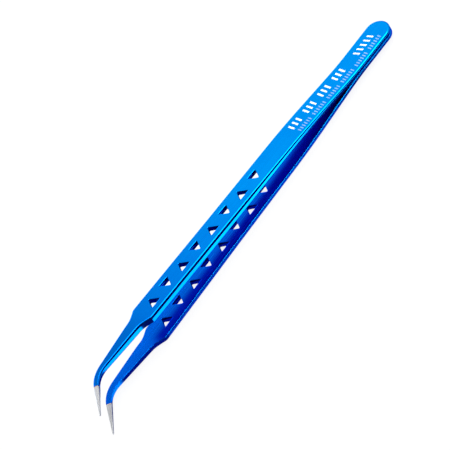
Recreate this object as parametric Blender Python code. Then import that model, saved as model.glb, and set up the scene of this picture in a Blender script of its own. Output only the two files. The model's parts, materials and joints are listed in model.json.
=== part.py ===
"""Curved fine-point tweezers: two blue spring-metal strips, welded face to face at the tail.

Run with blender --background --python part.py, or from Blender's text editor.

The strips are drawn in their own frame, in millimetres: X runs from the tail to the points, Y is
the side that the points bend towards, and Z is the way out of the upper strip's outer face. The
middle plane Z = 0 lies between the strips. The finished tweezers are tilted so that the lower
grip lies flat on the ground, and centred on the world origin.
"""

import math

import bmesh
import bpy
from mathutils import Matrix, Vector

MM = 0.001

# The strip seen from the side
WELD_END = 14.0
FLEX_START = 22.0
FLEX_END = 36.0
GRIP_START = 50.0
SHOULDER = 109.3
NECK_START = 115.0
FLEX_SLOPE = 0.082
GRIP_SLOPE = 0.0294
NECK_SLOPE = 0.037
TAIL_THICKNESS = 1.26
WELD_GAP = 0.06

# The strip seen from above
TAIL_HALF_WIDTH = 3.8
GRIP_HALF_WIDTH = 3.8
NECK_HALF_WIDTH = 2.05
NECK_OFFSET = -0.2
BEND_START = 127.0
BEND_HALF_WIDTH = 1.08
BEND_RADIUS = 8.5
BEND_ANGLE = math.radians(46.5)
MASK_HALF_WIDTH = 0.8
POINT_LENGTH = 10.1
TIP_HALF_WIDTH = 0.16

# Thickness of the strip: (distance from the tail, thickness)
THICKNESS = (
    (0.0, TAIL_THICKNESS),
    (48.0, TAIL_THICKNESS),
    (75.0, 1.6),
    (SHOULDER, 1.75),
    (NECK_START, 1.95),
    (BEND_START, 1.5),
    (133.2, 1.1),
    (141.0, 0.35),
)

# Triangular windows in each grip
WINDOWS = 8
FIRST_WINDOW = 59.05
WINDOW_PITCH = 6.55
WINDOW_BASE = 3.75
WINDOW_HEIGHT = 3.0
WINDOW_CORNER = 0.22

# Where a strip is divided into nodes
HINGE = 30.0
HINGE_GAP = 0.3
POINT_GAP = 0.1

# Half sizes of the blanks and cutters, all larger than the strip
BLANK_HALF_HEIGHT = 9.0
BLANK_HALF_WIDTH = 14.0
OVERRUN = 3.0

ROUND_STEPS = 24
BEND_STEPS = 10
RAMP_STEPS = 4


def ramp(x, start, end):
    """The area under a line that rises from 0 at start to 1 at end and stays there."""
    if x <= start:
        return 0.0
    if x >= end:
        return (end - start) / 2 + (x - end)
    return (x - start) ** 2 / (2 * (end - start))


def outer_height(x):
    """Height of the outer face above the middle plane: its slope ramps up, down and over."""
    flex = FLEX_SLOPE * ramp(x, WELD_END, FLEX_START)
    grip = (FLEX_SLOPE - GRIP_SLOPE) * ramp(x, FLEX_END, GRIP_START)
    neck = (GRIP_SLOPE + NECK_SLOPE) * ramp(x, SHOULDER, NECK_START)
    return TAIL_THICKNESS + flex - grip - neck


def thickness(x):
    """Thickness at x, on straight lines between the stations of THICKNESS."""
    for (x0, t0), (x1, t1) in zip(THICKNESS, THICKNESS[1:]):
        if x <= x1:
            return t0 + (t1 - t0) * (x - x0) / (x1 - x0)
    return THICKNESS[-1][1]


def inner_height(x):
    return max(outer_height(x) - thickness(x), WELD_GAP / 2)


def mix(a, b, share):
    return a + (b - a) * share


def half_width(x):
    """Half width of the straight part: nearly even to the shoulder, then a hollow sweep to the neck."""
    if x <= SHOULDER:
        return mix(TAIL_HALF_WIDTH, GRIP_HALF_WIDTH, x / SHOULDER)
    neck = mix(
        NECK_HALF_WIDTH, BEND_HALF_WIDTH, (x - NECK_START) / (BEND_START - NECK_START)
    )
    hollow = max(0.0, 1 - (x - SHOULDER) / (NECK_START - SHOULDER)) ** 2
    return mix(neck, GRIP_HALF_WIDTH, hollow)


def centre_offset(x):
    """Sideways place of the centre line: on the axis in the grip, a little off it in the neck."""
    share = (x - SHOULDER) / (NECK_START - SHOULDER)
    return NECK_OFFSET * min(max(share, 0.0), 1.0)


def bend_section(angle):
    """Centre, heading and half width at an angle round the bend."""
    centre = Vector(
        (
            BEND_START + BEND_RADIUS * math.sin(angle),
            NECK_OFFSET + BEND_RADIUS * (1 - math.cos(angle)),
        )
    )
    return centre, angle, mix(BEND_HALF_WIDTH, MASK_HALF_WIDTH, angle / BEND_ANGLE)


def point_section(distance):
    """Centre, heading and half width at a distance past the bend."""
    centre, heading, half = bend_section(BEND_ANGLE)
    along = Vector((math.cos(heading), math.sin(heading)))
    share = distance / POINT_LENGTH
    return centre + along * distance, heading, mix(half, TIP_HALF_WIDTH, share)


def straight_section(x):
    return Vector((x, centre_offset(x))), 0.0, half_width(x)


def outline(sections, start=()):
    """A closed outline: one side of the sections outwards, the other side back, then the start."""
    left, right = [], []
    for centre, heading, half in sections:
        normal = Vector((-math.sin(heading), math.cos(heading)))
        left.append(centre + normal * half)
        right.append(centre - normal * half)
    return right + left[::-1] + list(start)


def steps(start, end, count):
    return [mix(start, end, i / count) for i in range(count + 1)]


def tail_outline():
    """A round end and the two sides up to the hinge."""
    end_of_tail = HINGE - HINGE_GAP / 2
    round_end = []
    for i in range(1, ROUND_STEPS):
        angle = math.pi / 2 + math.pi * i / ROUND_STEPS
        reach = Vector((math.cos(angle), math.sin(angle)))
        round_end.append(Vector((TAIL_HALF_WIDTH, 0)) + reach * TAIL_HALF_WIDTH)
    sections = [straight_section(x) for x in (TAIL_HALF_WIDTH, end_of_tail)]
    return outline(sections, round_end)


def arm_outline():
    """The grip, the shoulder's sweep, the neck and the bend, up to where the bare metal starts."""
    stations = [HINGE + HINGE_GAP / 2, *steps(SHOULDER, NECK_START, 6)]
    sections = [straight_section(x) for x in stations]
    sections += [bend_section(a) for a in steps(0, BEND_ANGLE, BEND_STEPS)]
    return outline(sections)


def point_outline():
    return outline([point_section(POINT_GAP), point_section(POINT_LENGTH)])


def side_outline(start, end, side):
    """The strip seen from the side between two stations; side is 1 for the upper strip, -1 below."""
    ramps = ((WELD_END, FLEX_START), (FLEX_END, GRIP_START), (SHOULDER, NECK_START))
    stations = {start, end, *(x for x, _ in THICKNESS)}
    for first, last in ramps:
        stations.update(steps(first, last, RAMP_STEPS))
    stations = sorted(x for x in stations if start <= x <= end)
    outer = [Vector((x, side * outer_height(x))) for x in stations]
    inner = [Vector((x, side * inner_height(x))) for x in stations]
    return outer + inner[::-1]


def plate(name, points, half_thickness, collection):
    """A flat outline given its thickness, as a mesh with welded caps."""
    curve = bpy.data.curves.new(name, "CURVE")
    curve.dimensions = "2D"
    curve.fill_mode = "BOTH"
    curve.extrude = half_thickness * MM
    spline = curve.splines.new("POLY")
    spline.points.add(len(points) - 1)
    for spot, point in zip(spline.points, points):
        spot.co = (point.x * MM, point.y * MM, 0, 1)
    spline.use_cyclic_u = True
    guide = bpy.data.objects.new(name + "_guide", curve)
    bpy.context.scene.collection.objects.link(guide)
    graph = bpy.context.evaluated_depsgraph_get()
    mesh = bpy.data.meshes.new_from_object(guide.evaluated_get(graph))
    bpy.data.objects.remove(guide)
    shape = bmesh.new()
    shape.from_mesh(mesh)
    bmesh.ops.remove_doubles(shape, verts=shape.verts, dist=1e-7)
    bmesh.ops.recalc_face_normals(shape, faces=shape.faces)
    shape.to_mesh(mesh)
    shape.free()
    mesh.name = name
    part = bpy.data.objects.new(name, mesh)
    collection.objects.link(part)
    return part


def side_blank(name, start, end, side, cutters):
    """The side outline carried across the strip, which a plate is then trimmed to."""
    blank = plate(name, side_outline(start, end, side), BLANK_HALF_WIDTH, cutters)
    blank.data.transform(Matrix.Rotation(math.pi / 2, 4, "X"))
    return blank


def window_cutter(name, number, cutters):
    """A three-sided prism with rounded corners; every other window points the other way."""
    shape = bmesh.new()
    bmesh.ops.create_cone(
        shape,
        cap_ends=True,
        segments=3,
        radius1=1,
        radius2=1,
        depth=2 * BLANK_HALF_HEIGHT * MM,
    )
    # A triangle of radius 1 is sqrt(3) wide and 1.5 high, with one corner on +Y.
    size = Vector((WINDOW_BASE / math.sqrt(3) * MM, WINDOW_HEIGHT / 1.5 * MM, 1))
    bmesh.ops.scale(shape, vec=size, verts=shape.verts)
    lift = Vector((0, -WINDOW_HEIGHT / 6 * MM, 0))
    bmesh.ops.translate(shape, vec=lift, verts=shape.verts)
    corners = [e for e in shape.edges if abs(e.verts[0].co.z - e.verts[1].co.z) > MM]
    bmesh.ops.bevel(
        shape,
        geom=corners,
        offset=WINDOW_CORNER * MM,
        segments=3,
        affect="EDGES",
        profile=0.5,
    )
    if number % 2:
        bmesh.ops.rotate(
            shape, verts=shape.verts, matrix=Matrix.Rotation(math.pi, 3, "Z")
        )
    place = Vector(((FIRST_WINDOW + number * WINDOW_PITCH) * MM, 0, 0))
    bmesh.ops.translate(shape, vec=place, verts=shape.verts)
    bmesh.ops.recalc_face_normals(shape, faces=shape.faces)
    mesh = bpy.data.meshes.new(name)
    shape.to_mesh(mesh)
    shape.free()
    cutter = bpy.data.objects.new(name, mesh)
    cutters.objects.link(cutter)
    return cutter


def trim(part, cutter, operation):
    boolean = part.modifiers.new(cutter.name, "BOOLEAN")
    boolean.operation = operation
    boolean.solver = "EXACT"
    boolean.object = cutter


def metal(name, colour, roughness):
    material = bpy.data.materials.new(name)
    material.use_nodes = True
    shader = material.node_tree.nodes["Principled BSDF"]
    shader.inputs["Base Color"].default_value = (*colour, 1)
    shader.inputs["Metallic"].default_value = 1.0
    shader.inputs["Roughness"].default_value = roughness
    material.diffuse_color = (*colour, 1)
    return material


def empty(name, location, parent, collection):
    holder = bpy.data.objects.new(name, None)
    holder.empty_display_size = 5 * MM
    holder.location = location
    holder.parent = parent
    collection.objects.link(holder)
    return holder


def hinge_place(side):
    """The middle of the strip's thickness where it is divided."""
    height = (outer_height(HINGE) + inner_height(HINGE)) / 2
    return Vector((HINGE * MM, 0, side * height * MM))


def build_strip(word, side, frame, parts, cutters, materials):
    """One strip as three nodes: its welded tail, its arm and its bare point."""
    blue, bare = materials
    hinge = empty(word + "_hinge", hinge_place(side), frame, parts)
    outlines = {
        "tail": (tail_outline(), -OVERRUN, HINGE, frame, blue),
        "arm": (arm_outline(), HINGE - 1, 141.0, hinge, blue),
        "point": (point_outline(), BEND_START, 141.0, hinge, bare),
    }
    for piece, (points, start, end, holder, material) in outlines.items():
        part = plate(f"{word}_{piece}", points, BLANK_HALF_HEIGHT, parts)
        part.data.materials.append(material)
        part.parent = holder
        part.location = -holder.location if holder is hinge else (0, 0, 0)
        blank = side_blank(f"{word}_{piece}_side", start, end, side, cutters)
        blank.parent = frame
        trim(part, blank, "INTERSECT")
        if piece == "arm":
            for number in range(WINDOWS):
                cutter = window_cutter(f"{word}_window_{number + 1}", number, cutters)
                cutter.parent = frame
                trim(part, cutter, "DIFFERENCE")


def centre_on_base(frame, parts):
    """Moves the frame so that the parts' box stands on the origin."""
    bpy.context.view_layer.update()
    graph = bpy.context.evaluated_depsgraph_get()
    corners = []
    for part in parts.objects:
        if part.type == "MESH":
            solid = part.evaluated_get(graph)
            corners += [solid.matrix_world @ v.co for v in solid.data.vertices]
    low = Vector(min(c[i] for c in corners) for i in range(3))
    high = Vector(max(c[i] for c in corners) for i in range(3))
    frame.location = -Vector(((low.x + high.x) / 2, (low.y + high.y) / 2, low.z))


def clear_scene():
    for old in list(bpy.data.objects):
        bpy.data.objects.remove(old)


def new_collection(name):
    collection = bpy.data.collections.new(name)
    bpy.context.scene.collection.children.link(collection)
    return collection


def main():
    clear_scene()
    parts = new_collection("tweezers")
    cutters = new_collection("cutters")
    materials = (
        metal("blue_metal", (0.0, 0.19, 0.75), 0.3),
        metal("bare_metal", (0.62, 0.62, 0.64), 0.25),
    )
    frame = empty("strip_frame", (0, 0, 0), None, parts)
    frame.rotation_euler.y = -math.atan(GRIP_SLOPE)
    for word, side in (("upper", 1), ("lower", -1)):
        build_strip(word, side, frame, parts, cutters, materials)
    for cutter in cutters.objects:
        cutter.hide_render = True
        cutter.display_type = "WIRE"
    centre_on_base(frame, parts)


main()
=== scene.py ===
"""Curved fine-point tweezers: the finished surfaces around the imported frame, laid out as an add-on."""

import json
import math

import bmesh
import bpy
import numpy as np
from mathutils import Euler, Matrix, Vector

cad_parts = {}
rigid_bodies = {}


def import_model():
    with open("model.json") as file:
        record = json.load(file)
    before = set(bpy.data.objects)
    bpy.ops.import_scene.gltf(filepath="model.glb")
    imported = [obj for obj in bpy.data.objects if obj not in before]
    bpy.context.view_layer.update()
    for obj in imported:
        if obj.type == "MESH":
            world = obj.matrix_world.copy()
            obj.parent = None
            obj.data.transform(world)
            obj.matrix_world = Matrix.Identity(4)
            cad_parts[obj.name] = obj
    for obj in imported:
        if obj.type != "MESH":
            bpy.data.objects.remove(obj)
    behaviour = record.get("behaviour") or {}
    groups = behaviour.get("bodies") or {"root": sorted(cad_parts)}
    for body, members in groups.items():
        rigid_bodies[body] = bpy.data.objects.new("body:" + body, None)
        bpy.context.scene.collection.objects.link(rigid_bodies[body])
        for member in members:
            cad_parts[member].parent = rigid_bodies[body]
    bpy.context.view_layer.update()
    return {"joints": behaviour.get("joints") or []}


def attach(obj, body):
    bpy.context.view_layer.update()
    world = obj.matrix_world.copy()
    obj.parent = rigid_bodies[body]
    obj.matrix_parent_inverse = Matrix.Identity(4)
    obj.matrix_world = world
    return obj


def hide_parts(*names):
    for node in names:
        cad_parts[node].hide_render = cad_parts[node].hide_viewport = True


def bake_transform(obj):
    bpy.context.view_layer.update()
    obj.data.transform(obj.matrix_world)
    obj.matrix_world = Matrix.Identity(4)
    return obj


bl_info = {
    "name": "Curved Tweezers",
    "version": (1, 0, 0),
    "blender": (4, 5, 0),
    "location": "3D View > Sidebar > Tweezers",
    "description": "Builds curved fine-point tweezers and a plain studio around a packed frame",
    "category": "Object",
}


def clear_startup_scene():
    for old in list(bpy.data.objects):
        bpy.data.objects.remove(old)


clear_startup_scene()
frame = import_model()

MM = 0.001

# How finely the surfaces are divided
ACROSS = 24
CELL_STEPS = 24
WINDOW_RINGS = 7
RING_CROWDING = 1.15
FILLET_STEPS = 6
SIDE_STEPS = 3
POINT_STEPS = 40
POINT_ACROSS = 8
WELD_DISTANCE = 2e-7

# Rounding of the corners in the strip's lengthwise lines
THICKNESS_BLEND = 2 * MM
OUTLINE_BLEND = 1 * MM
SHOULDER_BLEND = 0.3 * MM

# How much larger the edge radii are at the tail, and how much smaller at the tip
TAIL_EDGES = 0.6
TIP_EDGES = 0.85

# The point's blunt end, and the seam between it and the blue strip
TIP_STEPS = 5
TIP_BULGE = 0.12 * MM
POINT_SEAM = 0.01 * MM

# Face kinds, kept as the attribute that the finishes read
WALL, INNER, PLAIN, OUTER = -2.0, -1.0, 0.0, 1.0

# The etched bars, in millimetres from the tail and from the middle of the strip: two groups in
# one row, and a fainter, finer row. "every" leaves one bar out, and "lean" slants the bars
MARKS = (
    dict(start=4, end=14, pitch=1.6, filled=0.34, low=-1.6, high=0.4, every=6, lean=0.25, weight=1),
    dict(start=17, end=42, pitch=1.6, filled=0.36, low=-2, high=0.2, every=4, lean=0, weight=1),
    dict(start=4, end=42.5, pitch=0.9, filled=0.36, low=1.4, high=2.6, every=7, lean=0, weight=0.35),
)

# Where the blue is painted deeper: along both strips towards the points, and on the inner faces
# across them and along them. The inner tones are painted reflection, standing in for the other strip
# mirrored in them
POINT_BLUE_ALONG = (-30 * MM, 60 * MM)
INNER_PAINTED_REFLECTION_ACROSS = (-3.8 * MM, -1.0 * MM)
INNER_PAINTED_REFLECTION_ALONG = (43 * MM, 39 * MM)

# How strongly noise and grain thin the film, and what each thing adds to its roughness
FILM_DRIFT = 0.5
FILM_STREAKS = 0.35
STREAK_ROUGHNESS = 0.05
SCRATCH_ROUGHNESS = 0.08
INNER_ROUGHNESS = 0.12
MARK_ROUGHNESS = 0.35
MARK_DULLING = 0.75
SCRATCH_DEPTH = 0.6
FILM_BUMP = 0.05
FILM_EDGE_TINT = (0.1, 0.5, 1.0, 1.0)

# The bare metal: where its warm tint fades from the film's end, and its grain
TINT_REACH = (0.75 * MM, 0.35 * MM)
TINT_STRENGTH = 0.6
GROUND_STREAKS = 0.25
GROUND_SHADE = 0.82
GROUND_ROUGHNESS = 0.1
GROUND_BUMP = 0.2
BUMP_DISTANCE = 0.00001

# The studio's dome: the heights over which it and its boxes fade at the horizon, its colours under
# and over that, and boxes in the direction's X and Y laid on in this order. A box has its middle,
# its reach, the softness of its edge, 1 for over the horizon or -1 for under it, and its colour
HORIZON = (-0.1, 0.12)
BOX_HORIZON = (0.0, 0.1)
DOME_BELOW = (0.03, 0.1, 0.42)
DOME_AROUND = (0.86, 0.88, 0.9)
DOME_BOXES = {
    "strip light overhead": ((-0.32, -0.03), (0.22, 0.44), 0.09, 1.0, (6.5, 6.5, 6.5)),
    "dark flag in front": ((-0.02, 0.74), (0.7, 0.24), 0.08, 1.0, (0.008, 0.012, 0.1)),
    "dark ground in front": ((0.1, 0.6), (0.9, 0.5), 0.15, -1.0, (0.01, 0.03, 0.2)),
    "bright ground in front": ((-0.3, 0.66), (0.46, 0.4), 0.1, -1.0, (3.6, 3.6, 3.6)),
    "dark ground at one side": ((0.5, 0.55), (0.25, 0.3), 0.1, -1.0, (0.01, 0.02, 0.15)),
    "glow behind": ((-0.3, -0.92), (0.45, 0.14), 0.06, 1.0, (2.4, 2.6, 2.8)),
    "bright ground behind": ((-0.3, -0.9), (0.45, 0.18), 0.05, -1.0, (2.4, 2.6, 2.8)),
}

# The floor, and the card on it, which glows with painted shadow and painted highlight for the metal to
# mirror:
# the card's ends, its colours, and where they change in the row
FLOOR_REACH = 3
FLOOR_HEIGHT = -0.02 * MM
CARD_HEIGHT = -0.01 * MM
CARD_ENDS = (-0.12, 0.12, -0.03, 0.008)
CARD_PAINTED_SHADOW = (0.03, 0.2, 0.7)
CARD_DEEP_PAINTED_SHADOW = (0.004, 0.015, 0.14)
CARD_PAINTED_SHADOW_PAST_SHOULDER = (0.008, 0.03, 0.3)
CARD_PAINTED_HIGHLIGHT = (1.6, 1.7, 1.8)
DEEP_FROM = (1.8 * MM, 2.6 * MM)
PAST_SHOULDER_FROM = (37 * MM, 38.5 * MM)
BEHIND_FROM = (-13.0 * MM, -14.5 * MM)
BEND_FROM, BEND_TO = (54.5 * MM, 56.5 * MM), (60.5 * MM, 59 * MM)
CLEAR_FROM = (5.6 * MM, 6.6 * MM)

# The softbox: its direction and distance from the strips, its ends along them, half its breadth,
# and where its light falls off from the first strength to the second
SOFTBOX_WAY = Vector((0, -0.685, 0.729))
SOFTBOX_DISTANCE = 0.5
SOFTBOX_ENDS = (-0.45, 0.25)
SOFTBOX_HALF = 0.16
SOFTBOX_FALL = (-0.2, 0.02)
SOFTBOX_LIGHT = (1.08, 0.62)

# The camera's aim, as a distance from the tail
AIM_ALONG = 70 * MM


def length(name, default, description):
    """A length property; default is in millimetres."""
    return bpy.props.FloatProperty(
        name=name,
        description=description,
        default=default * MM,
        unit="LENGTH",
        precision=5,
    )


def slope(name, default, description):
    return bpy.props.FloatProperty(
        name=name, description=description, default=default, precision=4
    )


def colour(name, default, description):
    return bpy.props.FloatVectorProperty(
        name=name, description=description, default=default, subtype="COLOR", size=3
    )


def number(name, default, description):
    return bpy.props.FloatProperty(name=name, description=description, default=default)


def angle(name, default, description):
    """An angle property; default is in degrees."""
    return bpy.props.FloatProperty(
        name=name, description=description, default=math.radians(default), subtype="ANGLE"
    )


class StripSizes(bpy.types.PropertyGroup):
    """Sizes of one strip, measured along it from the tail."""

    hinge: length("Hinge", 30.0, "Where the frame divides the strip")
    weld_end: length("Weld End", 14.0, "Where the two strips part")
    flex_start: length("Flex Start", 22.0, "Where the strip reaches its steepest slope")
    flex_end: length("Flex End", 36.0, "Where the strip starts to level out")
    grip_start: length("Grip Start", 50.0, "Where the flat grip starts")
    thicken_end: length("Thicken End", 75.0, "Where the strip has most of its thickness")
    shoulder: length("Shoulder", 109.3, "The corner where the grip ends")
    sweep: length("Sweep", 4.2, "Length of the hollow sweep from shoulder to neck")
    neck_start: length("Neck Start", 115.0, "Where the neck tapers evenly")
    bend_start: length("Bend Start", 127.0, "Where the strip turns sideways")
    bend_radius: length("Bend Radius", 8.5, "Radius of the bend's centre line")
    bend_angle: angle("Bend Angle", 46.5, "How far the point turns sideways")
    point_length: length("Point Length", 10.1, "Length of the bare point")
    flex_slope: slope("Flex Slope", 0.082, "Steepest slope away from the middle plane")
    grip_slope: slope("Grip Slope", 0.0294, "Slope of the grip")
    neck_slope: slope("Neck Slope", 0.037, "Slope of the neck, back to the middle")
    tail_half: length("Tail Half Width", 3.8, "Half width at the tail")
    grip_half: length("Grip Half Width", 3.8, "Half width at the shoulder")
    neck_half: length("Neck Half Width", 2.05, "Half width where the neck starts")
    bend_half: length("Bend Half Width", 1.08, "Half width where the bend starts")
    mask_half: length("Mask Half Width", 0.8, "Half width where the bare metal starts")
    tip_half: length("Tip Half Width", 0.16, "Half width at the tip")
    neck_offset: length("Neck Offset", -0.2, "How far the neck lies off the centre line")
    tail_thick: length("Tail Thickness", 1.26, "Thickness at the tail")
    thick_mid: length("Grip Thickness", 1.6, "Thickness at the grip's middle")
    shoulder_thick: length("Shoulder Thickness", 1.75, "Thickness at the shoulder")
    neck_thick: length("Neck Thickness", 1.95, "Thickness where the neck starts")
    bend_thick: length("Bend Thickness", 1.5, "Thickness where the bend starts")
    mask_thick: length("Mask Thickness", 1.1, "Thickness where the bare metal starts")
    tip_thick: length("Tip Thickness", 0.35, "Thickness at the tip")
    weld_gap: length("Weld Gap", 0.06, "Gap between the welded faces")
    tail_chamfer: length("Tail Chamfer", 0.3, "Chamfer on the outer edges at the tail")
    grip_chamfer: length("Grip Chamfer", 0.54, "Chamfer on the outer edges of the grip")
    neck_chamfer: length("Neck Chamfer", 0.5, "Chamfer on the outer edges at the neck")
    mask_chamfer: length("Mask Chamfer", 0.3, "Chamfer where the bare metal starts")
    tip_chamfer: length("Tip Chamfer", 0.07, "Chamfer at the tip")
    fillet: length("Fillet", 0.3, "Radius between the outer face and its chamfer")
    side_fillet: length("Side Fillet", 0.1, "Radius between the chamfer and the side")
    inner_round: length("Inner Rounding", 0.13, "Radius of the inner edges")
    first_window: length("First Window", 59.05, "Centre of the window nearest the tail")
    pitch: length("Window Pitch", 6.55, "Distance between window centres")
    window_base: length("Window Base", 3.75, "Length of a window's side along the strip")
    window_height: length("Window Height", 3.0, "Height of a window across the strip")
    window_corner: length("Window Corner", 0.22, "Radius of a window's corners")
    window_edge: length("Window Edge", 0.03, "Chamfer round a window")
    windows: bpy.props.IntProperty(
        name="Windows", description="Number of windows in each grip", default=8, min=1
    )


class MetalColours(bpy.types.PropertyGroup):
    """Colours and finishes of the two metals, with painted reflection on the inner faces and painted
    shade on the windows' walls.
    """

    blue: colour("Blue", (0.0, 0.3, 0.87), "Colour film on the strips")
    deep_blue: colour("Deep Blue", (0.0, 0.24, 0.8), "Where the film is a little thinner")
    point_blue: colour("Point Blue", (0.0, 0.15, 0.68), "The film's colour near the points")
    # Painted reflection: the inner faces' two tones stand in for the other strip mirrored in them,
    # deepest on the bend side
    inner_painted_reflection: colour("Inner Blue", (0.0, 0.105, 0.66), "The film's colour on the inner faces")
    deep_inner_painted_reflection: colour("Deep Inner Blue", (0.0, 0.015, 0.42), "Inner faces' bend side")
    # Painted shade: the windows' walls are darkened for the dark they would mirror
    wall_painted_shade: colour("Wall Blue", (0.0, 0.02, 0.3), "The film's colour on the windows' walls")
    mark: colour("Mark", (0.82, 0.87, 0.95), "Etched marks")
    bare: colour("Bare", (0.5, 0.5, 0.51), "Ground bare metal")
    heat: colour("Heat Tint", (0.5, 0.36, 0.3), "Tint where the film ends")
    blue_roughness: number("Blue Roughness", 0.11, "Roughness of the blue film")
    bare_roughness: number("Bare Roughness", 0.3, "Roughness of the ground metal")


class StudioSettings(bpy.types.PropertyGroup):
    """The camera's place and the studio's light."""

    azimuth: angle("Azimuth", 155.26, "Camera's direction round the object")
    elevation: angle("Elevation", 44.36, "Camera's height above the horizon")
    roll: angle("Roll", -35.31, "Camera's turn about its own line of sight")
    distance: length("Distance", 1200.0, "From the camera to the object")
    view_width: length("View Width", 120.6, "Width of the view at the object")
    aim_right: length("Aim Right", -3.1, "Camera's shift to its right")
    aim_up: length("Aim Up", -2.77, "Camera's shift upwards")
    floor_white: number("Floor White", 0.1, "Reflectance of the floor")
    floor_glow: number("Floor Glow", 0.9, "Even light of the floor itself")


def scene_settings():
    scene = bpy.context.scene
    return scene.tweezers_sizes, scene.tweezers_colours, scene.tweezers_studio


# The strip's own frame: X from the tail to the points, Y towards the bend, Z out of the upper strip


def strip_frame(sizes):
    """The strip frame in the row: its Z runs from the lower hinge to the upper, its X from the tail."""
    places = {j["child"]: Vector(j["pos_m"]) for j in frame["joints"]}
    upper, lower = places["upper_leg"], places["lower_leg"]
    out = (upper - lower).normalized()
    side = Vector((0, 1, 0))
    along = side.cross(out)
    origin = (upper + lower) / 2 - along * sizes.hinge
    axes = Matrix((along, side, out)).transposed()
    return Matrix.Translation(origin) @ axes.to_4x4()


def ramp(x, start, end):
    """Area under a line that rises from 0 at start to 1 at end and stays there."""
    rise = np.clip(x, start, end) - start
    return rise * rise / (2 * (end - start)) + np.maximum(x - end, 0)


def smoothstep(x, start, end):
    t = np.clip((x - start) / (end - start), 0, 1)
    return t * t * (3 - 2 * t)


def rounded_line(x, stations, values, reach):
    """Straight lines through the stations, each corner rounded over reach on both sides."""
    slopes = np.diff(values) / np.diff(stations)
    total = values[0] + slopes[0] * (x - stations[0])
    for corner, change in zip(stations[1:-1], np.diff(slopes)):
        total = total + change * ramp(x, corner - reach, corner + reach)
    return total


def outer_height(k, x):
    """Height of the outer face over the middle plane: its slope ramps up, down and over."""
    flex = k.flex_slope * ramp(x, k.weld_end, k.flex_start)
    grip = (k.flex_slope - k.grip_slope) * ramp(x, k.flex_end, k.grip_start)
    neck = (k.grip_slope + k.neck_slope) * ramp(x, k.shoulder, k.neck_start)
    return k.tail_thick + flex - grip - neck


def mask_station(k):
    """Distance along the centre line to where the bare metal starts."""
    return k.bend_start + k.bend_radius * k.bend_angle


def thickness(k, x):
    """Straight lines between the stations' thicknesses, with rounded corners."""
    mask_x = k.bend_start + k.bend_radius * math.sin(k.bend_angle)
    tip_x = mask_x + k.point_length * math.cos(k.bend_angle)
    thickening = k.grip_start - THICKNESS_BLEND
    where = (0, thickening, k.thicken_end, k.shoulder, k.neck_start, k.bend_start, mask_x, tip_x)
    grip = (k.tail_thick, k.tail_thick, k.thick_mid, k.shoulder_thick)
    neck = (k.neck_thick, k.bend_thick, k.mask_thick, k.tip_thick)
    return rounded_line(x, where, grip + neck, THICKNESS_BLEND)


def inner_height(k, x):
    return np.maximum(outer_height(k, x) - thickness(k, x), k.weld_gap / 2)


def raw_half_width(k, s):
    """Half width along the strip: even to the shoulder, then a hollow sweep into a taper."""
    grip = k.tail_half + (k.grip_half - k.tail_half) * s / k.shoulder
    mask = mask_station(k)
    taper = (k.neck_half - k.bend_half) / (k.bend_start - k.neck_start)
    neck_at_shoulder = k.neck_half + taper * (k.neck_start - k.shoulder)
    where = (k.shoulder, k.neck_start, k.bend_start, mask, mask + k.point_length)
    halves = (neck_at_shoulder, k.neck_half, k.bend_half, k.mask_half, k.tip_half)
    neck = rounded_line(s, where, halves, OUTLINE_BLEND)
    u = np.clip((s - k.shoulder) / k.sweep, 0, 1)
    hollow = (1 - u) ** 2 * (1 + 0.5 * u)
    return np.where(s <= k.shoulder, grip, neck + (k.grip_half - neck) * hollow)


def half_width(k, s):
    """The half width averaged over a short stretch, which rounds the shoulder's corner."""
    reach = np.linspace(-SHOULDER_BLEND, SHOULDER_BLEND, 13)
    s = np.asarray(s, float)
    return raw_half_width(k, s[..., None] + reach).mean(-1)


def centre_line(k, s):
    """Centre line in plan: straight, then an arc, then straight again, with its heading."""
    s = np.asarray(s, float)
    offset = k.neck_offset * smoothstep(s, k.shoulder, k.neck_start)
    heading = np.clip((s - k.bend_start) / k.bend_radius, 0, k.bend_angle)
    past = np.maximum(s - mask_station(k), 0)
    x = np.minimum(s, k.bend_start) + k.bend_radius * np.sin(heading)
    x = x + past * np.cos(heading)
    y = offset + k.bend_radius * (1 - np.cos(heading)) + past * np.sin(heading)
    return x, y, heading


def plan(k, s, b, inset):
    """A point in plan. s runs along the strip and b from -1 to 1 across it, and inset pulls the
    outline in. Past the tail's centre the square grid is drawn out into a half circle: x goes
    with a sqrt(1 - b^2/2) and y with b sqrt(1 - a^2/2), a being 1 at the very end."""
    s, b, inset = np.broadcast_arrays(s, b, inset)
    tail = float(half_width(k, k.tail_half))
    step = 0.05 * MM
    rate = (half_width(k, s + step) - half_width(k, s - step)) / (2 * step)
    half = half_width(k, s) - inset * np.sqrt(1 + rate * rate)
    x, y, heading = centre_line(k, s)
    straight_x = x - np.sin(heading) * half * b
    straight_y = y + np.cos(heading) * half * b
    a = np.clip(1 - s / tail, 0, 1)
    radius = tail - inset
    round_x = tail - radius * a * np.sqrt(1 - b * b / 2)
    round_y = radius * b * np.sqrt(1 - a * a / 2)
    in_tail = s < tail
    return np.where(in_tail, round_x, straight_x), np.where(in_tail, round_y, straight_y)


def chamfer_width(k, s):
    """Straight lines between the stations' chamfers, with rounded corners."""
    mask = mask_station(k)
    where = (0, k.flex_end, k.thicken_end, k.shoulder, k.neck_start, mask, mask + k.point_length)
    grip = (k.tail_chamfer, k.tail_chamfer, k.grip_chamfer, k.grip_chamfer)
    neck = (k.neck_chamfer, k.mask_chamfer, k.tip_chamfer)
    return rounded_line(s, where, grip + neck, OUTLINE_BLEND)


def flat_inset(k, s):
    """How far in from the outline the outer face's flat starts."""
    return chamfer_width(k, s) + k.fillet * edge_scale(k, s) * math.tan(math.pi / 8)


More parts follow.
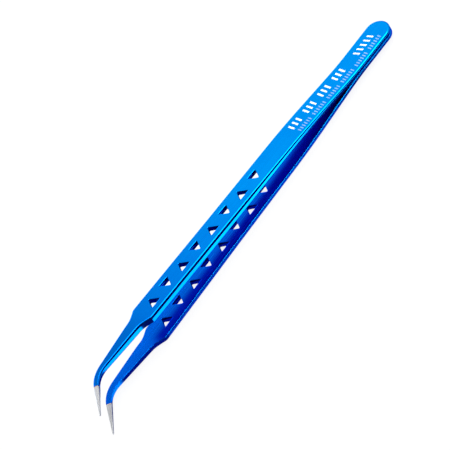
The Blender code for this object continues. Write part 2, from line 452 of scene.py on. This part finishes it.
def edge_scale(k, s):
    """Edge radii are larger at the tail and shrink with the strip past the neck's start."""
    past = (s - k.neck_start) / (mask_station(k) + k.point_length - k.neck_start)
    tail = 1 - smoothstep(s, k.flex_start, k.grip_start)
    return 1 + TAIL_EDGES * tail - TIP_EDGES * np.clip(past, 0, 1)


def inner_inset(k, s):
    """How far in from the outline the inner face's flat starts."""
    return k.inner_round * edge_scale(k, s)


# The two broad faces: where each flat starts, its height, and its kind
BROAD_FACES = ((flat_inset, outer_height, OUTER), (inner_inset, inner_height, INNER))


def rim_profile(k, s, thick):
    """The edge's profile as inset and depth: an arc from the outer face into a 45 degree chamfer,
    an arc into the upright side, and a quarter circle into the inner face."""
    chamfer = chamfer_width(k, s)[..., None]
    scale = edge_scale(k, s)[..., None]
    thick = thick[..., None]
    top, side, inner = k.fillet * scale, k.side_fillet * scale, k.inner_round * scale
    eighth = np.linspace(0, math.pi / 4, FILLET_STEPS + 1)
    quarter = np.linspace(0, math.pi / 2, FILLET_STEPS + 1)
    start = chamfer + top * math.tan(math.pi / 8)
    lower = chamfer + side * math.tan(math.pi / 8)
    ease = np.linspace(0, 1, SIDE_STEPS + 1)[1:-1]
    inset = (
        start - top * np.sin(eighth),
        side - side * np.sin(eighth + math.pi / 4),
        np.zeros_like(chamfer * ease),
        inner - inner * np.cos(quarter),
    )
    depth = (
        top * (1 - np.cos(eighth)),
        lower - side * np.cos(eighth + math.pi / 4),
        lower + (thick - inner - lower) * ease,
        thick - inner + inner * np.sin(quarter),
    )
    return np.concatenate(inset, -1), np.concatenate(depth, -1)


def stations(k):
    """Where the strip is divided along its length: close together where it turns."""
    first = k.first_window - k.pitch / 2
    last = first + k.windows * k.pitch
    near, margin = 0.6 * MM, 1 * MM
    # Each stretch's start, and how many places it has up to the next one's start
    stretches = (
        (0, 15),
        (float(half_width(k, k.tail_half)), 8),
        (k.weld_end - margin, 56),
        (k.grip_start + margin, 5),
        (first, CELL_STEPS * k.windows + 1),
        (last, 3),
        (k.shoulder - near, 13),
        (k.shoulder + near, 25),
        (k.shoulder + k.sweep + margin, 17),
        (k.bend_start - margin, 33),
    )
    ends = [start for start, _ in stretches[1:]] + [mask_station(k)]
    pieces = [
        np.linspace(start, end, count)[:-1] for (start, count), end in zip(stretches, ends)
    ]
    return np.append(np.concatenate(pieces), ends[-1])


class Surface:
    """Grids of points gathered into one closed mesh."""

    def __init__(self):
        self.points, self.faces, self.kinds, self.count = [], [], [], 0

    def grid(self, points, kind=PLAIN, keep=None):
        """Quads between neighbouring points of a grid; keep says which quads stay."""
        rows, columns = points.shape[:2]
        index = self.count + np.arange(rows * columns).reshape(rows, columns)
        quads = np.stack(
            (index[:-1, :-1], index[1:, :-1], index[1:, 1:], index[:-1, 1:]), -1
        )
        quads = (quads if keep is None else quads[keep]).reshape(-1, 4)
        self.points.append(points.reshape(-1, 3))
        self.faces.extend(quads.tolist())
        self.kinds.append(np.full(len(quads), kind))
        self.count += rows * columns

    def ring(self, points, kind=PLAIN):
        """A grid whose columns close on themselves."""
        self.grid(np.concatenate((points, points[:, :1]), 1), kind)

    def cap(self, points):
        """One flat face over a closed edge."""
        self.points.append(points)
        self.faces.append((self.count + np.arange(len(points))).tolist())
        self.kinds.append(np.array([PLAIN]))
        self.count += len(points)

    def mesh(self, name, matrix):
        """Points that meet are made one, the faces are turned outwards, and the mesh is placed."""
        mesh = bpy.data.meshes.new(name)
        mesh.from_pydata(np.concatenate(self.points).tolist(), [], self.faces)
        kinds = mesh.attributes.new("face_kind", "FLOAT", "FACE")
        kinds.data.foreach_set("value", np.concatenate(self.kinds).astype(np.float32))
        mesh.transform(matrix)
        shape = bmesh.new()
        shape.from_mesh(mesh)
        bmesh.ops.remove_doubles(shape, verts=shape.verts, dist=WELD_DISTANCE)
        bmesh.ops.recalc_face_normals(shape, faces=shape.faces)
        shape.to_mesh(mesh)
        shape.free()
        mesh.shade_smooth()
        return mesh


def place(x, y, z):
    return np.stack(np.broadcast_arrays(x, y, z), -1)


def window_outline(k, angles, turned):
    """Radius of a window at each angle from its centre: a triangle shrunk by the corner radius
    and swept by a circle of that radius."""
    r = k.window_corner
    corners = np.array(
        (
            (-k.window_base / 2, -k.window_height / 2),
            (k.window_base / 2, -k.window_height / 2),
            (0, k.window_height / 2),
        )
    )
    edges = np.roll(corners, -1, 0) - corners
    unit = edges / np.linalg.norm(edges, axis=1, keepdims=True)
    back = np.roll(unit, 1, 0)
    bisector = unit - back
    half_turn = np.arccos(np.clip((-unit * back).sum(1), -1, 1)) / 2
    inwards = bisector / np.linalg.norm(bisector, axis=1, keepdims=True)
    centres = corners + inwards * (r / np.sin(half_turn))[:, None]
    rays = np.linspace(-math.pi / 2, math.pi / 2, 25)
    arcs = []
    for centre, out, half in zip(centres, -inwards, half_turn):
        facing = math.atan2(out[1], out[0])
        spread = facing + rays * (1 - 2 * half / math.pi)
        arcs.append(centre + r * np.stack((np.cos(spread), np.sin(spread)), -1))
    outline = np.concatenate(arcs)
    dense = np.linspace(0, 1, 12, endpoint=False)[:, None]
    follow = np.roll(outline, -1, 0)
    outline = (outline[:, None] + (follow - outline)[:, None] * dense).reshape(-1, 2)
    outline = outline * (-1 if turned else 1)
    turn = np.arctan2(outline[:, 1], outline[:, 0])
    order = np.argsort(turn)
    reach = np.hypot(outline[:, 0], outline[:, 1])[order]
    return np.interp(angles, turn[order], reach, period=2 * math.pi)


def outwards(points):
    """Unit normals of a closed plan curve, pointing away from its inside."""
    along = np.roll(points, -1, 0) - np.roll(points, 1, 0)
    normal = np.stack((along[:, 1], -along[:, 0]), -1)
    normal /= np.linalg.norm(normal, axis=1, keepdims=True)
    centre = points.mean(0)
    flip = np.sign((normal * (points - centre)).sum(1, keepdims=True))
    return normal * flip


def cell_edge(k, first, inset):
    """The closed edge of a window's cell: along both sides of the flat and across it."""
    s = np.linspace(first, first + k.pitch, CELL_STEPS + 1)
    b = np.linspace(-1, 1, ACROSS + 1)
    route = (
        (s[:-1], np.full(CELL_STEPS, -1.0)),
        (np.full(ACROSS, s[-1]), b[:-1]),
        (s[:0:-1], np.full(CELL_STEPS, 1.0)),
        (np.full(ACROSS, s[0]), b[:0:-1]),
    )
    along = np.concatenate([r[0] for r in route])
    across = np.concatenate([r[1] for r in route])
    x, y = plan(k, along, across, inset(k, along))
    return np.stack((x, y), -1)


def add_window(surface, k, index, side):
    """One window: rings from its edge out to its cell on both faces, and its wall between them."""
    first = k.first_window + (index - 0.5) * k.pitch
    centre = np.array((k.first_window + index * k.pitch, 0))
    cells = [cell_edge(k, first, inset) for inset, _, _ in BROAD_FACES]
    angles = np.arctan2(*(cells[0] - centre).T[::-1])
    reach = window_outline(k, angles, index % 2)
    hole = centre + reach[:, None] * np.stack((np.cos(angles), np.sin(angles)), -1)
    wide = hole + outwards(hole) * k.window_edge
    share = (np.linspace(0, 1, WINDOW_RINGS + 1) ** RING_CROWDING)[:, None, None]
    for cell, (_, height, kind) in zip(cells, BROAD_FACES):
        rings = wide + (cell - wide) * share
        x, y = rings[..., 0], rings[..., 1]
        surface.ring(place(x, y, side * height(k, x)), kind)
    top, bottom = outer_height(k, hole[:, 0]), inner_height(k, hole[:, 0])
    levels = (
        (wide, outer_height(k, wide[:, 0])),
        (hole, top - k.window_edge),
        (hole, (top + bottom) / 2),
        (hole, bottom + k.window_edge),
        (wide, inner_height(k, wide[:, 0])),
    )
    wall = [place(edge[:, 0], edge[:, 1], side * z) for edge, z in levels]
    surface.ring(np.array(wall), WALL)


def face_points(k, s, b, inset, height, side):
    """A grid over a broad face, s along the strip and b across it."""
    x, y = plan(k, s[:, None], b, inset(k, s)[:, None])
    return place(x, y, side * height(k, x))


def rim_points(k, s, b, side):
    """The edge's profile at each place on the outline."""
    rim_x, _ = plan(k, s, b, 0.0)
    thick = outer_height(k, rim_x) - inner_height(k, rim_x)
    inset, depth = rim_profile(k, s, thick)
    x, y = plan(k, s[:, None], b[:, None], inset)
    share = depth / thick[:, None]
    z = outer_height(k, x) * (1 - share) + inner_height(k, x) * share
    return place(x, y, side * z)


def strip_surface(k, side):
    """A whole strip but its bare point: two broad faces, a rim carried round them, and windows."""
    surface = Surface()
    s = stations(k)
    b = np.linspace(-1, 1, ACROSS + 1)
    first = k.first_window - k.pitch / 2
    last = first + k.windows * k.pitch
    middle = (s[:-1] + s[1:]) / 2
    solid = (middle < first) | (middle > last)
    edges = []
    for inset, height, kind in BROAD_FACES:
        points = face_points(k, s, b, inset, height, side)
        surface.grid(points, kind, keep=solid)
        edges.append(points[-1])
    route_s = np.concatenate((s[::-1], np.zeros(ACROSS - 1), s))
    route_b = np.concatenate((np.full(len(s), -1.0), b[1:-1], np.full(len(s), 1.0)))
    rim = rim_points(k, route_s, route_b, side)
    surface.grid(rim)
    surface.cap(np.concatenate((rim[0], edges[1][1:-1], rim[-1][::-1], edges[0][-2:0:-1])))
    for index in range(k.windows):
        add_window(surface, k, index, side)
    return surface


def point_surface(k, side):
    """A bare point: the strip's section carried straight on and drawn in to a small blunt tip."""
    surface = Surface()
    start, end = mask_station(k), mask_station(k) + k.point_length
    s = start + (end - start) * np.linspace(0, 1, POINT_STEPS + 1)
    b = np.linspace(-1, 1, POINT_ACROSS + 1)
    outer, inner = [
        face_points(k, s, b, inset, height, side) for inset, height, _ in BROAD_FACES
    ]
    left, right = [rim_points(k, s, np.full(len(s), edge), side) for edge in (-1.0, 1.0)]
    loop = np.concatenate((right, inner[:, -2:0:-1], left[:, ::-1], outer[:, 1:-1]), 1)
    _, _, heading = centre_line(k, end)
    along = np.array((math.cos(heading), math.sin(heading), 0))
    loop[0] += along * POINT_SEAM
    last = loop[-1]
    middle = last.mean(0)
    rounds = np.linspace(0, math.pi / 2, TIP_STEPS + 1)[1:-1]
    blunt = [
        middle + (last - middle) * math.cos(t) + along * math.sin(t) * TIP_BULGE
        for t in rounds
    ]
    loop = np.concatenate((loop, np.array(blunt)))
    surface.ring(loop)
    surface.cap(loop[0])
    surface.cap(loop[-1])
    return surface


# Materials


def make_node(tree, kind, **values):
    """A node with its properties and inputs set; sockets are linked, and numbers are stored."""
    node = tree.nodes.new(kind)
    inputs = values.pop("inputs", {})
    for name, value in values.items():
        setattr(node, name, value)
    for name, value in inputs.items():
        if isinstance(value, bpy.types.NodeSocket):
            tree.links.new(value, node.inputs[name])
        else:
            node.inputs[name].default_value = value
    return node


def math_node(tree, operation, *values):
    inputs = dict(enumerate(values))
    return make_node(tree, "ShaderNodeMath", operation=operation, inputs=inputs).outputs[0]


def vector_math(tree, operation, first, second):
    inputs = {0: first, 1: second}
    return make_node(tree, "ShaderNodeVectorMath", operation=operation, inputs=inputs).outputs


def axes(tree, vector):
    """A vector's X, Y and Z."""
    return make_node(tree, "ShaderNodeSeparateXYZ", inputs={0: vector}).outputs


def object_place(tree):
    return make_node(tree, "ShaderNodeTexCoord").outputs["Object"]


def noise(tree, vector, scale=1.0, detail=2.0, roughness=0.5):
    inputs = {"Vector": vector, "Scale": scale, "Detail": detail, "Roughness": roughness}
    return make_node(tree, "ShaderNodeTexNoise", inputs=inputs).outputs["Fac"]


def map_range(tree, value, from_min, from_max, to_min=0.0, to_max=1.0):
    """The value carried smoothly from one range to the other, and held at its ends."""
    inputs = dict(enumerate((value, from_min, from_max, to_min, to_max)))
    node = make_node(
        tree, "ShaderNodeMapRange", interpolation_type="SMOOTHSTEP", inputs=inputs
    )
    return node.outputs["Result"]


def mix_colour(tree, share, first, second):
    node = tree.nodes.new("ShaderNodeMix")
    node.data_type = "RGBA"
    for socket, value in ((node.inputs[0], share), (node.inputs[6], first), (node.inputs[7], second)):
        if isinstance(value, bpy.types.NodeSocket):
            tree.links.new(value, socket)
        elif isinstance(value, float):
            socket.default_value = value
        else:
            socket.default_value = (*value, 1)
    return node.outputs[2]


def new_group(name, inputs, outputs):
    """An empty shader node group with the named sockets."""
    tree = bpy.data.node_groups.new(name, "ShaderNodeTree")
    for socket, kind, default in inputs:
        made = tree.interface.new_socket(socket, in_out="INPUT", socket_type=kind)
        if default is not None:
            made.default_value = default
    for socket, kind in outputs:
        tree.interface.new_socket(socket, in_out="OUTPUT", socket_type=kind)
    return tree, tree.nodes.new("NodeGroupInput"), tree.nodes.new("NodeGroupOutput")


def grain_group():
    """Brushed grain: noise drawn out along X, as a height and as a share from 0 to 1."""
    tree, given, made = new_group(
        "lengthwise_grain",
        (
            ("Coordinates", "NodeSocketVector", None),
            ("Lines per Metre", "NodeSocketFloat", 9000.0),
            ("Stretch", "NodeSocketFloat", 60.0),
        ),
        (("Height", "NodeSocketFloat"), ("Streaks", "NodeSocketFloat")),
    )
    fine = given.outputs["Lines per Metre"]
    along = math_node(tree, "DIVIDE", fine, given.outputs["Stretch"])
    scale = make_node(
        tree, "ShaderNodeCombineXYZ", inputs={"X": along, "Y": fine, "Z": along}
    )
    coordinates = given.outputs["Coordinates"]
    stretched = vector_math(tree, "MULTIPLY", coordinates, scale.outputs[0])["Vector"]
    broad = vector_math(tree, "MULTIPLY", stretched, (0.13, 0.13, 0.13))["Vector"]
    streaks = map_range(tree, noise(tree, broad), 0.3, 0.7)
    tree.links.new(noise(tree, stretched, detail=3.0, roughness=0.6), made.inputs["Height"])
    tree.links.new(streaks, made.inputs["Streaks"])
    return tree


def scratch_group():
    """Sparse hairline scratches: thin rings of a warped, stretched cell pattern, as a mask."""
    tree, given, made = new_group(
        "hairline_scratches",
        (
            ("Coordinates", "NodeSocketVector", None),
            ("Density", "NodeSocketFloat", 260.0),
            ("Width", "NodeSocketFloat", 0.012),
        ),
        (("Mask", "NodeSocketFloat"),),
    )
    turned = make_node(
        tree,
        "ShaderNodeMapping",
        inputs={
            "Vector": given.outputs["Coordinates"],
            "Rotation": (0.0, 0.0, 0.5),
            "Scale": (0.35, 1.0, 1.0),
        },
    )
    cells = make_node(
        tree,
        "ShaderNodeTexVoronoi",
        feature="DISTANCE_TO_EDGE",
        inputs={"Vector": turned.outputs[0], "Scale": given.outputs["Density"]},
    )
    line = math_node(tree, "LESS_THAN", cells.outputs["Distance"], given.outputs["Width"])
    some = map_range(tree, noise(tree, given.outputs["Coordinates"], 420.0), 0.56, 0.66)
    tree.links.new(math_node(tree, "MULTIPLY", line, some), made.inputs["Mask"])
    return tree


def row_of_marks(tree, x, y, start, end, pitch, filled, low, high, every, lean, weight):
    """Bars in a row: weight where x falls in the filled share of a pitch and y in the row."""
    x = math_node(tree, "MULTIPLY_ADD", y, lean, x)
    turns = math_node(tree, "DIVIDE", math_node(tree, "SUBTRACT", x, start * MM), pitch * MM)
    left = math_node(tree, "MODULO", math_node(tree, "FLOOR", turns), every)
    parts = (
        math_node(tree, "LESS_THAN", math_node(tree, "FRACT", turns), filled),
        math_node(tree, "GREATER_THAN", x, start * MM),
        math_node(tree, "LESS_THAN", x, end * MM),
        math_node(tree, "GREATER_THAN", y, low * MM),
        math_node(tree, "LESS_THAN", y, high * MM),
        math_node(tree, "GREATER_THAN", left, 0.5),
    )
    mask = weight
    for part in parts:
        mask = math_node(tree, "MULTIPLY", mask, part)
    return mask


def face_share(tree, kind):
    """1 on the faces of one kind and 0 elsewhere."""
    face = make_node(tree, "ShaderNodeAttribute", attribute_name="face_kind")
    return math_node(tree, "COMPARE", face.outputs["Fac"], kind, 0.5)


def etched_marks(tree, coordinates, matrix):
    """Two rows of plain bars on the upper strip's outer face, near the tail."""
    local = vector_math(tree, "SUBTRACT", coordinates, tuple(matrix.translation))["Vector"]
    x, y, _ = axes(tree, local)
    mask = 0.0
    for row in MARKS:
        mask = math_node(tree, "MAXIMUM", mask, row_of_marks(tree, x, y, **row))
    return math_node(tree, "MULTIPLY", mask, face_share(tree, OUTER))


def new_material(name):
    """A material with its node tree and its shader."""
    material = bpy.data.materials.new(name)
    material.use_nodes = True
    return material, material.node_tree, material.node_tree.nodes["Principled BSDF"]


def effect(tree, name, coordinates, **inputs):
    """A shared node group at work at these coordinates."""
    inputs = {"Coordinates": coordinates, **inputs}
    group = bpy.data.node_groups[name]
    return make_node(tree, "ShaderNodeGroup", node_tree=group, inputs=inputs).outputs


def finish_metal(tree, shader, base, rough, height, strength):
    """Link a metal's colour, its roughness, and the height of its grain."""
    inputs = {"Height": height, "Strength": strength, "Distance": BUMP_DISTANCE}
    bump = make_node(tree, "ShaderNodeBump", inputs=inputs)
    tree.links.new(base, shader.inputs["Base Color"])
    tree.links.new(rough, shader.inputs["Roughness"])
    tree.links.new(bump.outputs["Normal"], shader.inputs["Normal"])


def blue_material(name, colours, matrix, marked):
    """Blue film over brushed metal. Its colour drifts a little, hairlines catch light, and deeper
    tones are painted towards the points; the inner faces get painted reflection and the windows' walls
    painted shade."""
    material, tree, shader = new_material(name)
    coordinates = object_place(tree)
    along, side, _ = axes(tree, coordinates)
    grain = effect(tree, "lengthwise_grain", coordinates)
    scratched = effect(tree, "hairline_scratches", coordinates)["Mask"]
    inside = face_share(tree, INNER)
    drift = map_range(tree, noise(tree, coordinates, 90.0), 0.35, 0.65)
    film = math_node(tree, "MULTIPLY", drift, FILM_DRIFT)
    film = math_node(tree, "MULTIPLY_ADD", grain["Streaks"], FILM_STREAKS, film)
    # Painted reflection on the inner faces: a deeper tone across and along them, for the other strip
    # they mirror
    painted_reflection_share = math_node(
        tree,
        "MULTIPLY",
        map_range(tree, side, *INNER_PAINTED_REFLECTION_ACROSS),
        map_range(tree, along, *INNER_PAINTED_REFLECTION_ALONG),
    )
    inner = mix_colour(tree, painted_reflection_share, colours.inner_painted_reflection, colours.deep_inner_painted_reflection)
    base = mix_colour(tree, film, colours.blue, colours.deep_blue)
    for share, tone in (
        (map_range(tree, along, *POINT_BLUE_ALONG), colours.point_blue),
        # Painted reflection on the inner faces
        (inside, inner),
        # Painted shade on the windows' walls
        (face_share(tree, WALL), colours.wall_painted_shade),
    ):
        base = mix_colour(tree, share, base, tone)
    rough = colours.blue_roughness
    for share, added in (
        (grain["Streaks"], STREAK_ROUGHNESS),
        (scratched, SCRATCH_ROUGHNESS),
        (inside, INNER_ROUGHNESS),
    ):
        rough = math_node(tree, "MULTIPLY_ADD", share, added, rough)
    shader.inputs["Metallic"].default_value = 1.0
    if marked:
        mask = etched_marks(tree, coordinates, matrix)
        base = mix_colour(tree, mask, base, colours.mark)
        rough = math_node(tree, "MULTIPLY_ADD", mask, MARK_ROUGHNESS, rough)
        metal = math_node(tree, "MULTIPLY_ADD", mask, -MARK_DULLING, 1.0)
        tree.links.new(metal, shader.inputs["Metallic"])
    height = math_node(tree, "MULTIPLY_ADD", scratched, -SCRATCH_DEPTH, grain["Height"])
    smooth_rims = math_node(tree, "MULTIPLY_ADD", face_share(tree, PLAIN), -FILM_BUMP, FILM_BUMP)
    finish_metal(tree, shader, base, rough, height, smooth_rims)
    shader.inputs["Specular Tint"].default_value = FILM_EDGE_TINT
    material.diffuse_color = (*colours.blue, 1)
    return material


def bare_material(colours, mask_place):
    """Ground bare metal: fine grinding lines, and a warm tint where the blue film stops."""
    material, tree, shader = new_material("bare_ground_metal")
    coordinates = object_place(tree)
    turned = make_node(
        tree,
        "ShaderNodeMapping",
        inputs={"Vector": coordinates, "Rotation": (0.0, 0.0, math.radians(45))},
    )
    grinding = {"Lines per Metre": 16000.0, "Stretch": 20.0}
    grain = effect(tree, "lengthwise_grain", turned.outputs[0], **grinding)
    flat = vector_math(tree, "MULTIPLY", coordinates, (1.0, 1.0, 0.0))["Vector"]
    away = vector_math(tree, "DISTANCE", flat, (*mask_place[:2], 0.0))["Value"]
    tint = math_node(tree, "MULTIPLY", map_range(tree, away, *TINT_REACH), TINT_STRENGTH)
    streaks = math_node(tree, "MULTIPLY", grain["Streaks"], GROUND_STREAKS)
    shaded = tuple(c * GROUND_SHADE for c in colours.bare)
    base = mix_colour(tree, streaks, colours.bare, shaded)
    base = mix_colour(tree, tint, base, colours.heat)
    rough = math_node(
        tree, "MULTIPLY_ADD", grain["Streaks"], GROUND_ROUGHNESS, colours.bare_roughness
    )
    finish_metal(tree, shader, base, rough, grain["Height"], GROUND_BUMP)
    shader.inputs["Metallic"].default_value = 1.0
    material.diffuse_color = (*colours.bare, 1)
    return material


# Operators


def add_piece(name, mesh, material):
    piece = bpy.data.objects.new(name, mesh)
    bpy.context.scene.collection.objects.link(piece)
    mesh.materials.append(material)
    normals = piece.modifiers.new("face_weighted_normals", "WEIGHTED_NORMAL")
    normals.weight = 100
    normals.keep_sharp = True
    return piece


def row_point(matrix, x, y=0.0, z=0.0):
    return tuple(matrix @ Vector((x, y, z)))


class TWEEZERS_OT_finishes(bpy.types.Operator):
    """Make the shared grain and scratch groups and the metals"""

    bl_idname = "tweezers.finishes"
    bl_label = "Make Finishes"

    def execute(self, context):
        sizes, colours, _ = scene_settings()
        matrix = strip_frame(sizes)
        grain_group()
        scratch_group()
        blue_material("blue_film_marked", colours, matrix, True)
        blue_material("blue_film", colours, matrix, False)
        x, y, _ = centre_line(sizes, mask_station(sizes))
        bare_material(colours, row_point(matrix, float(x), float(y)))
        return {"FINISHED"}


class TWEEZERS_OT_strips(bpy.types.Operator):
    """Build the two blue strips, which bend from the welded tail to the grips"""

    bl_idname = "tweezers.strips"
    bl_label = "Build Strips"

    def execute(self, context):
        sizes, _, _ = scene_settings()
        matrix = strip_frame(sizes)
        for word, side, finish in (
            ("upper", 1, "blue_film_marked"),
            ("lower", -1, "blue_film"),
        ):
            mesh = strip_surface(sizes, side).mesh(word + "_strip", matrix)
            piece = add_piece(word + "_strip", mesh, bpy.data.materials[finish])
            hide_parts(word + "_tail", word + "_arm")
            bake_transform(piece)
        return {"FINISHED"}


class TWEEZERS_OT_points(bpy.types.Operator):
    """Build the two bare ground points"""

    bl_idname = "tweezers.points"
    bl_label = "Build Points"

    def execute(self, context):
        sizes, _, _ = scene_settings()
        matrix = strip_frame(sizes)
        for word, side in (("upper", 1), ("lower", -1)):
            name = word + "_ground_point"
            mesh = point_surface(sizes, side).mesh(name, matrix)
            piece = add_piece(name, mesh, bpy.data.materials["bare_ground_metal"])
            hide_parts(word + "_point")
            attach(piece, word + "_leg")
        return {"FINISHED"}


def box_share(tree, direction, middle, reach, soft, sign):
    """1 where the direction's X and Y lie within reach of the middle, fading out over soft, on
    the side of the horizon that sign gives."""
    parts = []
    for axis in (0, 1):
        away = math_node(tree, "SUBTRACT", direction[axis], middle[axis])
        away = math_node(tree, "ABSOLUTE", away)
        parts.append(map_range(tree, away, reach[axis] + soft, reach[axis] - soft))
    height = math_node(tree, "MULTIPLY", direction["Z"], sign)
    on_side = map_range(tree, height, *BOX_HORIZON)
    return math_node(tree, "MULTIPLY", math_node(tree, "MULTIPLY", *parts), on_side)


def studio_world():
    """A studio as a dome: soft light all round, deep blue from below, and boxes over them."""
    world = bpy.data.worlds.new("studio")
    bpy.context.scene.world = world
    world.use_nodes = True
    tree = world.node_tree
    direction = axes(tree, make_node(tree, "ShaderNodeTexCoord").outputs["Generated"])
    over = map_range(tree, direction["Z"], *HORIZON)
    mixed = mix_colour(tree, over, DOME_BELOW, DOME_AROUND)
    for middle, reach, soft, sign, shade in DOME_BOXES.values():
        share = box_share(tree, direction, middle, reach, soft, sign)
        mixed = mix_colour(tree, share, mixed, shade)
    tree.links.new(mixed, tree.nodes["Background"].inputs["Color"])


def floor_material(white, glow):
    """A pale floor lit evenly from within, like a light table, so that shadows stay faint."""
    material, _, shader = new_material("pale_floor")
    shader.inputs["Base Color"].default_value = (white, white, white, 1)
    shader.inputs["Roughness"].default_value = 1.0
    shader.inputs["Specular IOR Level"].default_value = 0.0
    shader.inputs["Emission Color"].default_value = (1, 1, 1, 1)
    shader.inputs["Emission Strength"].default_value = glow
    return material


def glow_material(name):
    """A material without its shader, and the X and Y of the place in it."""
    material, tree, shader = new_material(name)
    tree.nodes.remove(shader)
    along, side, _ = axes(tree, object_place(tree))
    return material, tree, along, side


def glow_from(tree, colour, strength):
    inputs = {"Color": colour, "Strength": strength}
    return make_node(tree, "ShaderNodeEmission", inputs=inputs).outputs[0]


def show_surface(tree, shader_output):
    tree.links.new(shader_output, tree.nodes["Material Output"].inputs["Surface"])


def level_board(name, low_x, high_x, low_y, high_y, height):
    mesh = bpy.data.meshes.new(name)
    corners = ((low_x, low_y), (high_x, low_y), (high_x, high_y), (low_x, high_y))
    mesh.from_pydata([(x, y, height) for x, y in corners], [], [(0, 1, 2, 3)])
    board = bpy.data.objects.new(name, mesh)
    bpy.context.scene.collection.objects.link(board)
    return board


def show_only_in_metal(board):
    board.visible_camera = False
    board.visible_diffuse = False
    board.visible_shadow = False


class TWEEZERS_OT_stage(bpy.types.Operator):
    """Lay the pale floor, light it, and place the camera"""

    bl_idname = "tweezers.stage"
    bl_label = "Set the Stage"

    def execute(self, context):
        sizes, _, studio = scene_settings()
        scene = context.scene
        scene.view_settings.view_transform = "Standard"
        studio_world()
        floor_ends = (-FLOOR_REACH, FLOOR_REACH) * 2
        floor = level_board("pale_floor", *floor_ends, FLOOR_HEIGHT)
        floor.data.materials.append(floor_material(studio.floor_white, studio.floor_glow))
        floor.visible_glossy = False
        self.lay_shade_card()
        self.hang_softbox(sizes)
        self.place_camera(scene, sizes, studio)
        return {"FINISHED"}

    def lay_shade_card(self):
        """A card on the floor that only the metal sees, glowing with painted shadow, the floor's shade
        as the metal
        mirrors it: blue beside the grips, deeper further out and past the shoulders; painted highlights
        behind the tweezers and at the bends; and clear beyond."""
        material, tree, along, side = glow_material("shade_card")
        # Painted highlights behind the tweezers and at the bends
        at_bend = math_node(
            tree,
            "MULTIPLY",
            map_range(tree, along, *BEND_FROM),
            map_range(tree, along, *BEND_TO),
        )
        bright = math_node(tree, "MAXIMUM", map_range(tree, side, *BEHIND_FROM), at_bend)
        # Painted shadow: blue beside the grips, deeper further out and past the shoulders
        shade = mix_colour(tree, map_range(tree, side, *DEEP_FROM), CARD_PAINTED_SHADOW, CARD_DEEP_PAINTED_SHADOW)
        for share, tone in (
            (map_range(tree, along, *PAST_SHOULDER_FROM), CARD_PAINTED_SHADOW_PAST_SHOULDER),
            (bright, CARD_PAINTED_HIGHLIGHT),
        ):
            shade = mix_colour(tree, share, shade, tone)
        inputs = {
            0: map_range(tree, side, *CLEAR_FROM),
            1: glow_from(tree, shade, 1.0),
            2: make_node(tree, "ShaderNodeBsdfTransparent").outputs[0],
        }
        show_surface(tree, make_node(tree, "ShaderNodeMixShader", inputs=inputs).outputs[0])
        card = level_board("shade_card", *CARD_ENDS, CARD_HEIGHT)
        card.data.materials.append(material)
        show_only_in_metal(card)

    def hang_softbox(self, sizes):
        """A panel whose light falls off towards the points; it is seen only in the metal."""
        material, tree, along, _ = glow_material("softbox")
        light = map_range(tree, along, *SOFTBOX_FALL, *SOFTBOX_LIGHT)
        show_surface(tree, glow_from(tree, (1, 1, 1, 1), light))
        matrix = strip_frame(sizes)
        across = SOFTBOX_WAY.cross(Vector((1, 0, 0)))
        middle = SOFTBOX_WAY * SOFTBOX_DISTANCE
        (low_x, high_x), half = SOFTBOX_ENDS, SOFTBOX_HALF
        corners = [
            matrix @ (middle + Vector((x, 0, 0)) + across * y)
            for x, y in ((low_x, -half), (high_x, -half), (high_x, half), (low_x, half))
        ]
        mesh = bpy.data.meshes.new("softbox")
        mesh.from_pydata(corners, [], [(0, 1, 2, 3)])
        panel = bpy.data.objects.new("softbox", mesh)
        bpy.context.scene.collection.objects.link(panel)
        mesh.materials.append(material)
        show_only_in_metal(panel)

    def place_camera(self, scene, sizes, studio):
        """A long lens turned about the middle of the tweezers by azimuth, elevation and roll."""
        target = Vector(row_point(strip_frame(sizes), AIM_ALONG))
        turn = Euler((math.pi / 2 - studio.elevation, 0, studio.azimuth)).to_matrix()
        turn = turn @ Matrix.Rotation(studio.roll, 3, "Z")
        back = turn @ Vector((0, 0, 1))
        shift = turn @ Vector((studio.aim_right, studio.aim_up, 0))
        data = bpy.data.cameras.new("camera")
        data.lens = data.sensor_width * studio.distance / studio.view_width
        data.clip_start, data.clip_end = 0.05, 20
        camera = bpy.data.objects.new("camera", data)
        scene.collection.objects.link(camera)
        camera.location = target + back * studio.distance + shift
        camera.rotation_euler = turn.to_euler()
        scene.camera = camera


OPERATORS = (
    TWEEZERS_OT_finishes,
    TWEEZERS_OT_strips,
    TWEEZERS_OT_points,
    TWEEZERS_OT_stage,
)


class TWEEZERS_PT_panel(bpy.types.Panel):
    """Lists the operators and the main settings"""

    bl_idname = "TWEEZERS_PT_panel"
    bl_label = "Tweezers"
    bl_space_type = "VIEW_3D"
    bl_region_type = "UI"
    bl_category = "Tweezers"

    def draw(self, context):
        for operator in OPERATORS:
            self.layout.operator(operator.bl_idname)
        for group in scene_settings():
            for name in group.bl_rna.properties.keys():
                if name not in ("rna_type", "name"):
                    self.layout.prop(group, name)


GROUPS = {
    "tweezers_sizes": StripSizes,
    "tweezers_colours": MetalColours,
    "tweezers_studio": StudioSettings,
}


def register():
    for name, group in GROUPS.items():
        bpy.utils.register_class(group)
        setattr(bpy.types.Scene, name, bpy.props.PointerProperty(type=group))
    for made in (*OPERATORS, TWEEZERS_PT_panel):
        bpy.utils.register_class(made)


def unregister():
    for made in (TWEEZERS_PT_panel, *reversed(OPERATORS)):
        bpy.utils.unregister_class(made)
    for name, group in reversed(GROUPS.items()):
        delattr(bpy.types.Scene, name)
        bpy.utils.unregister_class(group)


def main():
    register()
    bpy.ops.tweezers.finishes()
    bpy.ops.tweezers.strips()
    bpy.ops.tweezers.points()
    bpy.ops.tweezers.stage()


if __name__ == "__main__":
    main()
